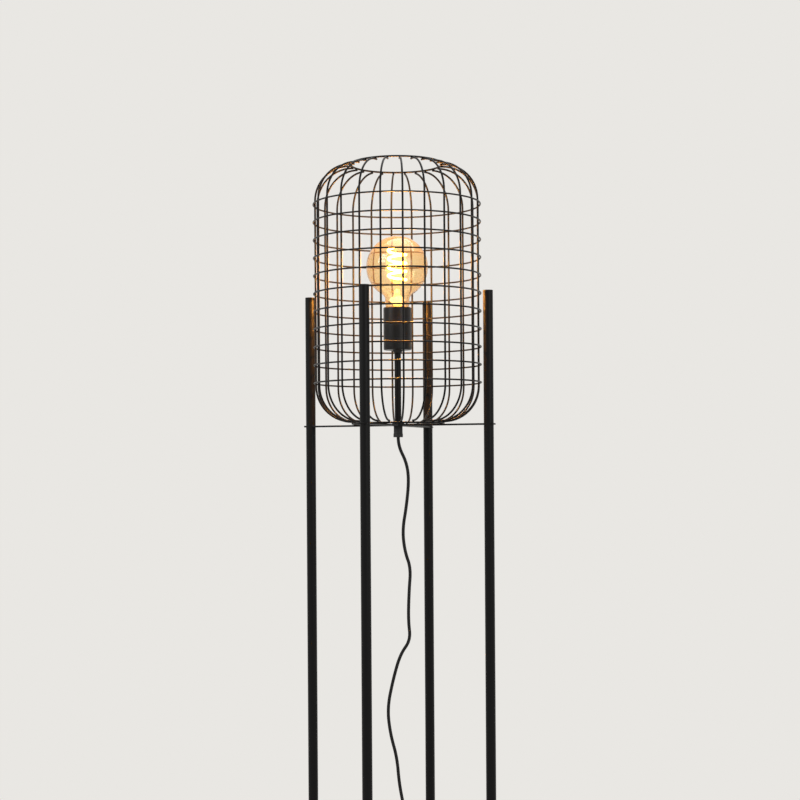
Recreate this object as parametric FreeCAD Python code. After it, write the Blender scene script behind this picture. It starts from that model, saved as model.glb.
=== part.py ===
import FreeCAD, Part
import math
import os

from FreeCAD import Vector

# Wire cage floor lamp, in millimetres. Z is up, the origin is on the floor under the middle of the cage,
# and the four legs stand on the X and Y axes.

# Stand: four straight tubes, held by a flat steel cross under the cage and another near the floor.
# Round pieces have flats for their roundness, so that their meshes stay light.
round_side_count = 24
small_side_count = 16
overall_height = 1500.0
leg_tip_height = 1300.0
leg_circle_radius = 144.5
leg_diameter = 15.0
leg_wall = 1.2
leg_side_count = 12
cap_thickness = 1.5
foot_height = 5.0
foot_chamfer = 1.0
spigot_length = 12.0
spigot_clearance = 0.15
arm_width = 12.5
arm_thickness = 2.5
arm_proud = 1.5
hub_diameter = 34.0
lower_cross_height = 150.0
slot_clearance = 0.2

# Cage: bent uprights inside, rings outside, spot welded where they touch.
cage_height = 400.0
bar_count = 24
cage_turn = 0.9
bar_wire = 3.0
bar_circle_radius = 125.0
shoulder_radius = 54.0
bar_overhang = 1.0
end_ring_wire = 3.0
end_ring_inset = 1.0
band_count = 11
band_wire = 2.5
band_margin = 5.0
wire_side_count = 6
band_flats_per_gap = 2
end_ring_flats_per_gap = 1
shoulder_steps = 4

# Stem and lamp holder.
stem_diameter = 10.0
stem_bore = 7.0
stem_rise = 109.5
stem_clearance = 0.1
nut_across_flats = 17.0
nut_side_count = 6
nut_height = 3.0
collar_height = 4.5
collar_base_diameter = 17.0
collar_tip_diameter = 11.5
holder_diameter = 43.0
holder_height = 65.5
holder_wall = 1.2
holder_rim_width = 2.2
holder_edge = 1.2
insert_clearance = 0.2
insert_top_gap = 5.0
shell_bore = 27.8
shell_wall = 0.6
contact_diameter = 9.0
contact_height = 3.0
contact_gap = 0.3
grip_length = 17.0
grip_body_diameter = 13.6
grip_nut_diameter = 14.6
grip_nut_length = 5.5
grip_stem_depth = 9.0

# Bulb: a globe on a screw cap. It unscrews upwards.
bulb_seat_height = 36.7
bulb_diameter = 95.0
bulb_length = 138.0
bulb_neck_diameter = 37.0
bulb_neck_fillet = 12.0
bulb_mouth_diameter = 27.0
bulb_mouth_height = 6.0
glass_wall = 0.8
glass_bands = 8
neck_bands = 3
cap_diameter = 26.2
cap_length = 24.5
cap_rim_height = 2.0
insulator_height = 3.2
insulator_diameter = 19.0
tip_height = 1.6
tip_diameter = 9.0
mount_flare_diameter = 20.0
mount_diameter = 8.0
mount_height = 27.0
mount_flare_height = 12.0
filament_turns = 3.25
filament_radius = 13.5
filament_height = 46.0
filament_start = 17.0
filament_wire = 2.4
filament_steps = 14
lead_wire = 1.0
lead_flats = 6

# Cord, foot switch and plug. They lie on the floor between the legs.
cord_diameter = 5.0
cord_flats = 6
cord_turn_step = 30.0
cord_plane_turn = 19.4
bend_share = 0.45
entry_lead = 26.0
entry_sink = 2.5
entry_straight = 12.0
switch_length = 76.0
switch_width = 36.0
switch_base_height = 9.0
switch_height = 23.0
switch_wall = 2.0
switch_edge = 3.0
switch_end_flats = 10
switch_x = 2.0
switch_y = 80.0
switch_cord_height = 6.0
relief_length = 20.0
relief_diameter = 8.0
relief_tip_diameter = 6.2
button_diameter = 22.0
button_rise = 4.0
button_edge = 1.0
button_travel = 3.0
button_clearance = 0.3
button_flange = 2.0
spring_diameter = 10.0
spring_wall = 1.0
contact_block_height = 7.0
coil_lead = 30.0
coil_tail = 30.0
coil_outer_radius = 36.75
coil_pitch = 5.6
coil_layer_step = 5.6
coil_half_turns_in = 6
tie_width = 6.0
tie_thickness = 0.5
tie_clearance = 0.1
tie_side_clearance = 1.0
boot_length = 22.0
boot_diameter = 9.0
boot_tip_diameter = 6.4
plug_length = 38.0
plug_width = 35.0
plug_face_width = 26.5
plug_wide_share = 0.62
plug_neck_width = 15.0
plug_thickness = 14.0
plug_edge = 2.0
pin_diameter = 4.0
pin_length = 19.0
pin_spacing = 18.6

# Heights and radii that follow from the sizes above.
cross_top = overall_height - cage_height
cross_bottom = cross_top - arm_thickness
grip_bottom = cross_bottom - grip_length
collar_bottom = cross_top + stem_rise
holder_bottom = collar_bottom + collar_height
holder_top = holder_bottom + holder_height
bulb_tip = holder_bottom + bulb_seat_height
cap_top = bulb_tip + cap_length
globe_height = bulb_tip + bulb_length - bulb_diameter / 2
end_ring_radius = bar_circle_radius - shoulder_radius - end_ring_inset
cord_radius = cord_diameter / 2
up = Vector(0, 0, 1)


def export(shape, node):
    """Write one node, and say if its solid is not sound."""
    if not shape.isValid():
        print("not valid:", node)
    shape.exportStep("parts/" + node + ".step")


def ring_corners(radius, height, flats):
    """The corners of a level polygon about the Z axis."""
    turns = [2 * math.pi * (index + 0.5) / flats for index in range(flats)]
    return [Vector(radius * math.cos(turn), radius * math.sin(turn), height) for turn in turns]


def flat_faces(points):
    """One face through the points, or two triangles where four points don't lie in one plane."""
    distinct = [point for index, point in enumerate(points) if not point.isEqual(points[index - 1], 1e-6)]
    if len(distinct) < 3:
        return []
    if len(distinct) == 4:
        a, b, c, d = distinct
        if abs((b - a).cross(c - a).dot(d - a)) > 1e-7 * (c - a).Length * (b - a).Length:
            return flat_faces([a, b, c]) + flat_faces([a, c, d])
    return [Part.Face(Part.makePolygon(distinct + distinct[:1]))]


def closed_solid(faces):
    solid = Part.makeSolid(Part.makeShell(faces))
    if solid.Volume < 0:
        solid.reverse()
    return solid


def flat_sided(sections, closed):
    """A solid with flat sides through sections of equally many corners, such as a bent wire."""
    count = len(sections)
    faces = []
    for index in range(count if closed else count - 1):
        near = sections[index]
        far = sections[(index + 1) % count]
        for corner in range(len(near)):
            after = (corner + 1) % len(near)
            faces += flat_faces([near[corner], near[after], far[after], far[corner]])
    if not closed:
        faces += flat_faces(sections[0]) + flat_faces(sections[-1])
    return closed_solid(faces)


def turned(profile, flats=round_side_count):
    """A round piece about Z from a closed outline of (radius, height) points."""
    rows = [ring_corners(radius, height, flats) for radius, height in profile]
    faces = []
    for index in range(len(rows)):
        near = rows[index - 1]
        far = rows[index]
        for corner in range(flats):
            faces += flat_faces([near[corner - 1], near[corner], far[corner], far[corner - 1]])
    return closed_solid(faces)


def disc(diameter, low, high, flats=round_side_count):
    radius = diameter / 2
    return turned([(0, low), (radius, low), (radius, high), (0, high)], flats)


def sleeve(outer_diameter, inner_diameter, low, high, flats=round_side_count):
    outer = outer_diameter / 2
    inner = inner_diameter / 2
    return turned([(inner, low), (outer, low), (outer, high), (inner, high)], flats)


def moved(shape, x, y, z=0.0):
    copy = shape.copy()
    copy.translate(Vector(x, y, z))
    return copy


def corners(centre, out, side, across_flats, flats):
    """The corners of a wire's section. One flat faces along out."""
    radius = across_flats / 2 / math.cos(math.pi / flats)
    turns = [2 * math.pi * (step + 0.5) / flats for step in range(flats)]
    return [centre + out * (radius * math.cos(turn)) + side * (radius * math.sin(turn)) for turn in turns]


def round_section(centre, along, diameter, flats):
    """The corners of a round bar's section, square to along, on the circle of its diameter."""
    side = Vector(0, 1, 0) if abs(along.y) < 0.9 else up
    side = (side - along * side.dot(along)).normalize()
    return corners(centre, side.cross(along), side, diameter * math.cos(math.pi / flats), flats)


def bar(start, end, start_diameter, end_diameter, flats=small_side_count):
    """A straight round or tapered bar between two points."""
    along = (end - start).normalize()
    near = round_section(start, along, start_diameter, flats)
    far = round_section(end, along, end_diameter, flats)
    return flat_sided([near, far], closed=False)


def about_z(shape, degrees):
    copy = shape.copy()
    copy.rotate(Vector(0, 0, 0), up, degrees)
    return copy


# Stand

def leg():
    """One tube on the X axis, open at both ends, with a slot right through it for each cross."""
    low = foot_height
    high = leg_tip_height - cap_thickness
    tube = sleeve(leg_diameter, leg_diameter - 2 * leg_wall, low, high, leg_side_count)
    tube = moved(tube, leg_circle_radius, 0)
    for arm_bottom in (cross_bottom, lower_cross_height):
        slot = Part.makeBox(
            2 * leg_diameter,
            arm_width + 2 * slot_clearance,
            arm_thickness + slot_clearance,
            Vector(leg_circle_radius - leg_diameter, -arm_width / 2 - slot_clearance, arm_bottom))
        tube = tube.cut(slot)
    return tube


def leg_end(face_height, seat_height, chamfer):
    """A round plug for a leg's end: a disc against the cut tube, and a spigot inside it."""
    direction = 1 if seat_height > face_height else -1
    edge = leg_diameter / 2
    spigot = leg_diameter / 2 - leg_wall - spigot_clearance
    tip = seat_height + direction * spigot_length
    outline = [
        (0, face_height),
        (edge - chamfer, face_height),
        (edge, face_height + direction * chamfer),
        (edge, seat_height),
        (spigot, seat_height),
        (spigot, tip),
        (0, tip),
    ]
    return moved(turned(outline, leg_side_count), leg_circle_radius, 0)


def cross(arm_bottom, hole_diameter):
    """A flat cross cut from plate. Its arms run through the legs and stand a little proud outside."""
    reach = leg_circle_radius + leg_diameter / 2 + arm_proud
    plate = disc(hub_diameter, arm_bottom, arm_bottom + arm_thickness)
    for length, width in ((2 * reach, arm_width), (arm_width, 2 * reach)):
        corner = Vector(-length / 2, -width / 2, arm_bottom)
        plate = plate.fuse(Part.makeBox(length, width, arm_thickness, corner))
    if hole_diameter > 0:
        plate = plate.cut(disc(hole_diameter, arm_bottom, arm_bottom + arm_thickness, small_side_count))
    return plate.removeSplitter()


# Cage

def cage_bar():
    """One upright in the XZ plane, bent inwards at both ends, from the top ring down to the bottom ring."""
    high = overall_height - end_ring_wire - bar_wire / 2
    low = cross_top + end_ring_wire + bar_wire / 2
    end_radius = end_ring_radius - end_ring_wire / 2 - bar_overhang
    bend_radius = bar_circle_radius - shoulder_radius
    stations = [(end_radius, high, 90.0)]
    for step in range(shoulder_steps + 1):
        lean = 90.0 - 90.0 * step / shoulder_steps
        reach = bend_radius + shoulder_radius * math.cos(math.radians(lean))
        height = high - shoulder_radius + shoulder_radius * math.sin(math.radians(lean))
        stations.append((reach, height, lean))
    middle = (high + low) / 2
    stations += [(reach, 2 * middle - height, -lean) for reach, height, lean in reversed(stations)]
    sections = []
    for reach, height, lean in stations:
        out = Vector(math.cos(math.radians(lean)), 0, math.sin(math.radians(lean)))
        sections.append(corners(Vector(reach, 0, height), out, Vector(0, 1, 0), bar_wire, wire_side_count))
    return flat_sided(sections, closed=False)


def cage_bars():
    """All uprights, evenly spaced. The cage sits a little turned, with each leg near the middle of a gap."""
    spacing = 360.0 / bar_count
    bar = cage_bar()
    turns = [cage_turn + spacing * (index + 0.5) for index in range(bar_count)]
    return Part.makeCompound([about_z(bar, turn) for turn in turns])


def ring(radius, height, wire, flats_per_gap, flat_faces_up):
    """A closed ring of wire. A flat of each side lies on the upright or the bar end that it is welded to."""
    sides = bar_count * flats_per_gap
    stretch = 1 / math.cos(math.pi / sides)
    section = corners(Vector(0, 0, 0), up if flat_faces_up else Vector(1, 0, 0),
                      Vector(1, 0, 0) if flat_faces_up else up, wire, wire_side_count)
    first_corner = cage_turn + 180.0 / bar_count + 180.0 / sides
    rows = []
    for index in range(sides):
        turn = math.radians(first_corner + 360.0 * index / sides)
        out = Vector(math.cos(turn), math.sin(turn), 0)
        rows.append([out * ((radius + point.x) * stretch) + up * (height + point.z) for point in section])
    return flat_sided(rows, closed=True)


def bands():
    """The rings round the straight part of the uprights, from the top one down."""
    high = overall_height - end_ring_wire - bar_wire / 2 - shoulder_radius - band_margin
    low = cross_top + end_ring_wire + bar_wire / 2 + shoulder_radius + band_margin
    radius = bar_circle_radius + bar_wire / 2 + band_wire / 2
    pitch = (high - low) / (band_count - 1)
    heights = [high - pitch * index for index in range(band_count)]
    return [ring(radius, height, band_wire, band_flats_per_gap, False) for height in heights]


def end_ring(height):
    return ring(end_ring_radius, height, end_ring_wire, end_ring_flats_per_gap, True)


# Stem and lamp holder

def stem_tube():
    """The threaded tube that carries the holder, from inside the grip to inside the holder."""
    low = cross_bottom - grip_stem_depth
    high = holder_bottom + holder_wall + stem_diameter
    return sleeve(stem_diameter, stem_bore, low, high, small_side_count)


def stem_nut():
    """A thin hexagon nut that clamps the stem to the cross."""
    reach = nut_across_flats / 2 / math.cos(math.pi / nut_side_count)
    points = []
    for index in range(nut_side_count):
        turn = 2 * math.pi * index / nut_side_count
        points.append(Vector(reach * math.cos(turn), reach * math.sin(turn), cross_top))
    nut = Part.Face(Part.makePolygon(points + points[:1])).extrude(up * nut_height)
    return nut.cut(disc(stem_diameter + stem_clearance, cross_top, cross_top + nut_height, small_side_count))


def holder_collar():
    """The cone under the holder, screwed on the stem."""
    bore = (stem_diameter + stem_clearance) / 2
    return turned([
        (bore, collar_bottom),
        (collar_tip_diameter / 2, collar_bottom),
        (collar_base_diameter / 2, holder_bottom),
        (bore, holder_bottom),
    ], small_side_count)


def holder_cover():
    """The smooth cover: a deep cup with a hole for the stem and a rim turned in at the top."""
    outer = holder_diameter / 2
    inner = outer - holder_wall
    bore = (stem_diameter + stem_clearance) / 2
    return turned([
        (bore, holder_bottom),
        (outer - holder_edge, holder_bottom),
        (outer, holder_bottom + holder_edge),
        (outer, holder_top - holder_edge),
        (outer - holder_edge, holder_top),
        (outer - holder_rim_width, holder_top),
        (outer - holder_rim_width, holder_top - holder_wall),
        (inner, holder_top - holder_wall - holder_edge),
        (inner, holder_bottom + holder_wall),
        (bore, holder_bottom + holder_wall),
    ])


def holder_insert():
    """The ceramic body in the cover, hollow for the screw shell, drilled for the stem and the wires."""
    outer = holder_diameter / 2 - holder_wall - insert_clearance
    shell = shell_bore / 2 + shell_wall
    low = holder_bottom + holder_wall
    floor = bulb_tip - contact_gap - contact_height
    high = holder_top - insert_top_gap
    stem = (stem_diameter + stem_clearance) / 2
    return turned([
        (stem, low),
        (outer, low),
        (outer, high),
        (shell, high),
        (shell, floor),
        (stem_bore / 2, floor),
        (stem_bore / 2, low + stem_diameter),
        (stem, low + stem_diameter),
    ], small_side_count)


def screw_shell():
    """The brass shell that the bulb's cap screws into."""
    low = bulb_tip - contact_gap - contact_height
    high = holder_top - insert_top_gap
    return sleeve(shell_bore + 2 * shell_wall, shell_bore, low, high, small_side_count)


def centre_contact():
    """The contact under the bulb's tip, on the ceramic floor."""
    low = bulb_tip - contact_gap - contact_height
    return disc(contact_diameter, low, low + contact_height, small_side_count)


def cord_grip():
    """The grip that holds the cord under the cross: a body on the stem, and its wider nut below."""
    seam = grip_bottom + grip_nut_length
    stem = (stem_diameter + stem_clearance) / 2
    shoulder = cross_bottom - grip_stem_depth
    return turned([
        (cord_radius, grip_bottom),
        (grip_nut_diameter / 2, grip_bottom),
        (grip_nut_diameter / 2, seam),
        (grip_body_diameter / 2, seam),
        (grip_body_diameter / 2, cross_bottom),
        (stem, cross_bottom),
        (stem, shoulder),
        (cord_radius, shoulder),
    ], small_side_count)


def stem_lead():
    """The cord's stretch inside the grip and the stem, up to the holder's contact."""
    return disc(cord_diameter, grip_bottom, bulb_tip - contact_gap - contact_height, small_side_count)


# Bulb

def glass_skin(inset):
    """The bulb's outline from its mouth to its crown, moved inwards by inset, as a flat-sided solid."""
    globe = bulb_diameter / 2 - inset
    neck = bulb_neck_diameter / 2 - inset
    fillet = bulb_neck_fillet + inset
    fillet_centre = bulb_neck_diameter / 2 + bulb_neck_fillet
    drop = math.sqrt((bulb_diameter / 2 + bulb_neck_fillet) ** 2 - fillet_centre ** 2)
    tangent = math.atan2(drop, fillet_centre)
    outline = [
        (bulb_mouth_diameter / 2 - inset, cap_top),
        (neck, cap_top + bulb_mouth_height),
    ]
    for step in range(neck_bands):
        turn = tangent * step / neck_bands
        height = globe_height - drop + fillet * math.sin(turn)
        outline.append((fillet_centre - fillet * math.cos(turn), height))
    for step in range(glass_bands):
        turn = -tangent + (math.pi / 2 + tangent) * step / glass_bands
        outline.append((globe * math.cos(turn), globe_height + globe * math.sin(turn)))
    crown = math.pi / 2 / glass_bands / 2
    outline.append((globe * math.sin(crown), globe_height + globe * math.cos(crown)))
    rows = [ring_corners(radius, height, round_side_count) for radius, height in outline]
    return flat_sided(rows, closed=False)


def bulb_glass():
    """The blown globe with its neck, open at the mouth."""
    return glass_skin(0.0).cut(glass_skin(glass_wall))


def bulb_cap():
    """The screw cap that the glass is cemented into."""
    edge = cap_diameter / 2
    low = bulb_tip + tip_height + insulator_height
    return turned([
        (0, low),
        (insulator_diameter / 2, low),
        (edge, low + insulator_height),
        (edge, cap_top - cap_rim_height),
        (bulb_mouth_diameter / 2, cap_top),
        (0, cap_top),
    ], small_side_count)


def cap_insulator():
    """The dark glass button between the cap and its tip."""
    low = bulb_tip + tip_height
    return turned([
        (0, low),
        (tip_diameter / 2, low),
        (insulator_diameter / 2, low + insulator_height),
        (0, low + insulator_height),
    ], small_side_count)


def cap_tip():
    """The soldered contact at the bottom of the cap."""
    return turned([
        (0, bulb_tip),
        (tip_diameter / 4, bulb_tip),
        (tip_diameter / 2, bulb_tip + tip_height),
        (0, bulb_tip + tip_height),
    ], small_side_count)


def glass_mount():
    """The pressed glass post in the neck that holds the wires."""
    narrow = mount_diameter / 2
    return turned([
        (0, cap_top),
        (mount_flare_diameter / 2, cap_top),
        (narrow, cap_top + mount_flare_height),
        (narrow, cap_top + mount_height),
        (0, cap_top + mount_height),
    ], small_side_count)


def filament_point(turn):
    climb = filament_height * turn / (2 * math.pi * filament_turns)
    height = cap_top + mount_height + filament_start + climb
    return Vector(filament_radius * math.cos(turn), filament_radius * math.sin(turn), height)


def filament():
    """The soft spiral filament, a thick thread wound upwards about the bulb's axis."""
    count = int(filament_turns * filament_steps)
    sections = []
    for index in range(count + 1):
        turn = 2 * math.pi * filament_turns * index / count
        out = Vector(math.cos(turn), math.sin(turn), 0)
        sections.append(corners(filament_point(turn), out, up, filament_wire, 4))
    return flat_sided(sections, closed=False)


def filament_leads():
    """Two wires from the mount: a short one to the filament's foot, a long one up the middle to its head."""
    foot = filament_point(0)
    head = filament_point(2 * math.pi * filament_turns)
    mount_top = cap_top + mount_height
    offset = mount_diameter / 4
    leads = []
    for target, start_x in ((foot, offset), (head, -offset)):
        root = Vector(start_x, 0, mount_top)
        inner = Vector(start_x, 0, target.z)
        across = Vector(target.x, target.y, 0) - Vector(start_x, 0, 0)
        reach = across.Length - filament_wire / 2
        post = bar(root, inner + up * lead_wire / 2, lead_wire, lead_wire, lead_flats)
        hook = bar(inner, inner + across.normalize() * reach, lead_wire, lead_wire, lead_flats)
        leads.append(post.fuse(hook))
    return Part.makeCompound(leads)


# Cord: routes

def from_view_plane(across, away, height):
    """A point of the hanging cord. Its waves lie near an upright plane that is turned from the X axis."""
    turn = math.radians(cord_plane_turn)
    x = across * math.cos(turn) - away * math.sin(turn)
    y = across * math.sin(turn) + away * math.cos(turn)
    return Vector(x, y, height)


def drop_route():
    """Points of the free cord: out of the grip, down in loose waves, past the lower cross, to the switch."""
    hanging = [
        (0.0, 0.0, grip_bottom),
        (0.0, 0.0, 1067.0),
        (12.5, -1.0, 1042.0),
        (16.0, -2.0, 1015.0),
        (12.0, 1.0, 975.0),
        (5.5, 3.0, 938.0),
        (9.0, 3.0, 905.0),
        (18.0, 1.0, 880.0),
        (15.0, -3.0, 845.0),
        (13.5, -5.0, 800.0),
        (17.0, -4.0, 770.0),
        (1.0, 0.0, 748.0),
        (-10.0, 3.0, 710.0),
        (-19.5, 4.0, 665.0),
        (-15.0, 2.0, 625.0),
        (-5.0, -2.0, 590.0),
        (-2.0, -5.0, 550.0),
        (6.0, -8.0, 510.0),
        (12.0, -10.0, 460.0),
        (10.0, -12.0, 405.0),
        (4.0, -14.0, 350.0),
        (3.0, -18.0, 295.0),
        (8.0, -23.0, 240.0),
        (15.5, -26.5, 190.0),
        (20.0, -33.0, 140.0),
        (26.0, -40.0, 95.0),
    ]
    landing = [
        (40.0, -36.0, 55.0),
        (47.0, -42.0, 22.0),
    ]
    on_floor = [
        (66.0, -47.0),
        (96.0, -44.0),
        (117.0, -22.0),
        (125.0, 12.0),
        (124.0, 44.0),
        (117.0, 66.0),
        (104.0, 77.0),
    ]
    entry = Vector(switch_x + switch_length / 2 + relief_length, switch_y, switch_cord_height)
    points = [from_view_plane(*point) for point in hanging]
    points += [Vector(*point) for point in landing]
    points += [Vector(x, y, cord_radius) for x, y in on_floor]
    points += [entry + Vector(entry_lead, 0, -entry_sink), entry + Vector(entry_straight, 0, 0), entry]
    return points


def bend(start, corner, end):
    """The arc from start to end that is tangent to both legs through corner."""
    middle = (start + end) * 0.5
    half_chord = (end - start).Length / 2
    inward = corner - middle
    rise = half_chord * math.tan(math.atan2(inward.Length, half_chord) / 2)
    return Part.Arc(start, middle + inward.normalize() * rise, end).toShape()


def rounded_path(points):
    """Straight runs joined by tangent arcs, each as large as its two runs allow. Prints the least radius."""
    edges = []
    radii = []
    start = points[0]
    for index in range(1, len(points) - 1):
        before = points[index] - points[index - 1]
        after = points[index + 1] - points[index]
        tangent = bend_share * min(before.Length, after.Length)
        half_turn = before.getAngle(after) / 2
        radii.append(tangent / math.tan(half_turn))
        arc_start = points[index] - before.normalize() * tangent
        arc_end = points[index] + after.normalize() * tangent
        edges.append(Part.LineSegment(start, arc_start).toShape())
        edges.append(bend(arc_start, points[index], arc_end))
        start = arc_end
    edges.append(Part.LineSegment(start, points[-1]).toShape())
    print("bend radii:", " ".join("%.0f" % radius for radius in radii))
    return Part.Wire(edges)


def stations_along(path):
    """Distance, point and direction at the ends of each run and arc, and at small turns within the arcs."""
    first = path.OrderedEdges[0]
    stations = [(0.0, first.valueAt(first.FirstParameter), first.tangentAt(first.FirstParameter))]
    travelled = 0.0
    for edge in path.OrderedEdges:
        straight = isinstance(edge.Curve, Part.Line)
        turn = 0.0 if straight else math.degrees(edge.Length / edge.Curve.Radius)
        count = max(1, math.ceil(turn / cord_turn_step - 0.01))
        for step in range(1, count + 1):
            share = edge.FirstParameter + (edge.LastParameter - edge.FirstParameter) * step / count
            distance = travelled + edge.Length * step / count
            stations.append((distance, edge.valueAt(share), edge.tangentAt(share)))
        travelled += edge.Length
    return stations


def cord_along(path, name):
    """The cord as one unbroken tube, through sections square to its path. Prints its length and fullness."""
    side = Vector(0, 1, 0)
    across_flats = cord_diameter * math.cos(math.pi / cord_flats)
    sections = []
    for travelled, point, way in stations_along(path):
        side = (side - way * side.dot(way)).normalize()
        sections.append(corners(point, side.cross(way), side, across_flats, cord_flats))
    tube = flat_sided(sections, closed=False)
    area = Part.Face(Part.makePolygon(sections[0] + sections[0][:1])).Area
    print("%s: length %.0f, volume over section times length %.4f"
          % (name, path.Length, tube.Volume / (area * path.Length)))
    return tube


def cord_drop():
    """The free cord from the grip to the switch."""
    return cord_along(rounded_path(drop_route()), "cord drop")


def biarc(start, start_way, end, end_way):
    """Two tangent arcs from one point and direction to another."""
    gap = end - start
    ways = start_way + end_way
    bending = 1 - start_way.dot(end_way)
    along = gap.dot(ways)
    if bending < 1e-9:
        reach = gap.dot(gap) / (2 * along)
    else:
        reach = (-along + math.sqrt(along ** 2 + 2 * bending * gap.dot(gap))) / (2 * bending)
    first = start + start_way * reach
    second = end - end_way * reach
    joint = (first + second) * 0.5
    return [bend(start, first, joint), bend(joint, second, end)]


def coil_path():
    """The put-away cord: out of the switch, spiral in on the floor, climb, spiral out on top, to the plug."""
    low = tie_thickness + tie_clearance + cord_radius
    step_in = coil_pitch / 2
    inwards = [coil_outer_radius - step_in * index for index in range(coil_half_turns_in)]
    radii = inwards + [inwards[-1] - step_in] + inwards[::-1]
    way = Vector(-1, 0, 0)
    start = Vector(switch_x - switch_length / 2 - relief_length, switch_y, switch_cord_height)
    stub = start + way * cord_diameter
    point = Vector(start.x - coil_lead, switch_y, low)
    edges = [Part.makeLine(start, stub)] + biarc(stub, way, point, way)
    for index, radius in enumerate(radii):
        side = -1 if index % 2 == 0 else 1
        climb = coil_layer_step if index == coil_half_turns_in else 0
        target = point + Vector(0, side * 2 * radius, climb)
        edges += biarc(point, way, target, way * -1)
        point = target
        way = way * -1
    stub = Vector(point.x + coil_tail - cord_diameter, point.y, plug_thickness / 2)
    edges += biarc(point, way, stub, way)
    edges.append(Part.makeLine(stub, stub + way * cord_diameter))
    return Part.Wire(edges)


def coil_end():
    """Where the coil's cord meets the plug's boot."""
    return coil_path().OrderedVertexes[-1].Point


def least_self_gap(stations):
    """The least clear distance between turns, measured on points along the middle line."""
    far_along = 4 * cord_diameter
    least = math.inf
    for index, (length, point, way) in enumerate(stations):
        for other_length, other, other_way in stations[index + 1:]:
            if other_length - length > far_along:
                least = min(least, (point - other).Length - cord_diameter)
    return least


def cord_coil():
    """The put-away coil, one unbroken tube with all its turns."""
    path = coil_path()
    print("coil: least gap between turns %.2f" % least_self_gap(stations_along(path)))
    return cord_along(path, "coil")


def cord_tie():
    """The flat tie round the strands on the coil's left side."""
    step_in = coil_pitch / 2
    centre_x = switch_x - switch_length / 2 - relief_length - coil_lead
    centre_y = switch_y - coil_outer_radius
    inner_radius = coil_outer_radius - step_in * coil_half_turns_in - cord_radius - tie_side_clearance
    outer_radius = coil_outer_radius + cord_radius + tie_side_clearance
    high = tie_thickness + 2 * tie_clearance + cord_diameter + coil_layer_step
    space = Part.makeBox(
        outer_radius - inner_radius,
        tie_width,
        high - tie_thickness,
        Vector(centre_x - outer_radius, centre_y - tie_width / 2, tie_thickness))
    band = Part.makeBox(
        outer_radius - inner_radius + 2 * tie_thickness,
        tie_width,
        high + tie_thickness,
        Vector(centre_x - outer_radius - tie_thickness, centre_y - tie_width / 2, 0))
    return band.cut(space)


# Foot switch

def oval_outline(length, width, height):
    """A level outline with round ends, centred on the switch."""
    radius = width / 2
    points = []
    for end in (1, -1):
        for step in range(switch_end_flats + 1):
            turn = math.pi * (step / switch_end_flats - 0.5)
            reach = length / 2 - radius + radius * math.cos(turn)
            points.append(Vector(switch_x + end * reach, switch_y + end * radius * math.sin(turn), height))
    return points


def oval(length, width, low, high):
    return flat_sided([oval_outline(length, width, low), oval_outline(length, width, high)], closed=False)


def relief_holes():
    """The space of the two cord reliefs, where they pass through the housing."""
    left = Vector(switch_x - switch_length, switch_y, switch_cord_height)
    right = Vector(switch_x + switch_length, switch_y, switch_cord_height)
    return bar(left, right, relief_diameter, relief_diameter)


def switch_base():
    """The tray on the floor."""
    inner = 2 * switch_wall
    tray = oval(switch_length, switch_width, 0, switch_base_height)
    tray = tray.cut(oval(switch_length - inner, switch_width - inner, switch_wall, switch_base_height))
    return tray.cut(relief_holes())


def switch_cover():
    """The upper shell, with a round hole for the button and a sloping edge."""
    inner = 2 * switch_wall
    narrower = 2 * switch_edge
    shell = flat_sided([
        oval_outline(switch_length, switch_width, switch_base_height),
        oval_outline(switch_length, switch_width, switch_height - switch_edge),
        oval_outline(switch_length - narrower, switch_width - narrower, switch_height),
    ], closed=False)
    inside_top = switch_height - switch_wall
    inner += switch_edge
    shell = shell.cut(oval(switch_length - inner, switch_width - inner, switch_base_height, inside_top))
    hole = button_diameter + 2 * button_clearance
    shell = shell.cut(moved(disc(hole, inside_top, switch_height, small_side_count), switch_x, switch_y))
    return shell.cut(relief_holes())


def switch_reliefs():
    """Two short sleeves that lead the cord into the housing."""
    sleeves = []
    for end in (-1, 1):
        root = Vector(switch_x + end * (switch_length / 2 - switch_wall), switch_y, switch_cord_height)
        tip = root + Vector(end * (relief_length + switch_wall), 0, 0)
        sleeves.append(bar(root, tip, relief_diameter, relief_tip_diameter))
    return Part.makeCompound(sleeves)


def switch_button():
    """The round pedal, with a flange that keeps it under the cover."""
    inside_top = switch_height - switch_wall - button_clearance
    top = switch_height + button_rise
    edge = button_diameter / 2
    button = turned([
        (0, inside_top - button_flange),
        (edge + button_flange, inside_top - button_flange),
        (edge + button_flange, inside_top),
        (edge, inside_top),
        (edge, top - button_edge),
        (edge - button_edge, top),
        (0, top),
    ], small_side_count)
    return moved(button, switch_x, switch_y)


def switch_contacts():
    """The block with the switch's contacts, on the floor of the tray."""
    low = switch_wall
    width = button_diameter
    return Part.makeBox(
        width, width, contact_block_height, Vector(switch_x - width / 2, switch_y - width / 2, low))


def switch_spring():
    """The return spring between the contact block and the button, as a plain sleeve."""
    low = switch_wall + contact_block_height
    high = switch_height - switch_wall - button_clearance - button_flange
    spring = sleeve(spring_diameter, spring_diameter - 2 * spring_wall, low, high, small_side_count)
    return moved(spring, switch_x, switch_y)


# Plug

def plug_boot():
    """The tapered boot where the cord enters the plug."""
    tip = coil_end()
    return bar(tip, tip + Vector(boot_length, 0, 0), boot_tip_diameter, boot_diameter)


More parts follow.
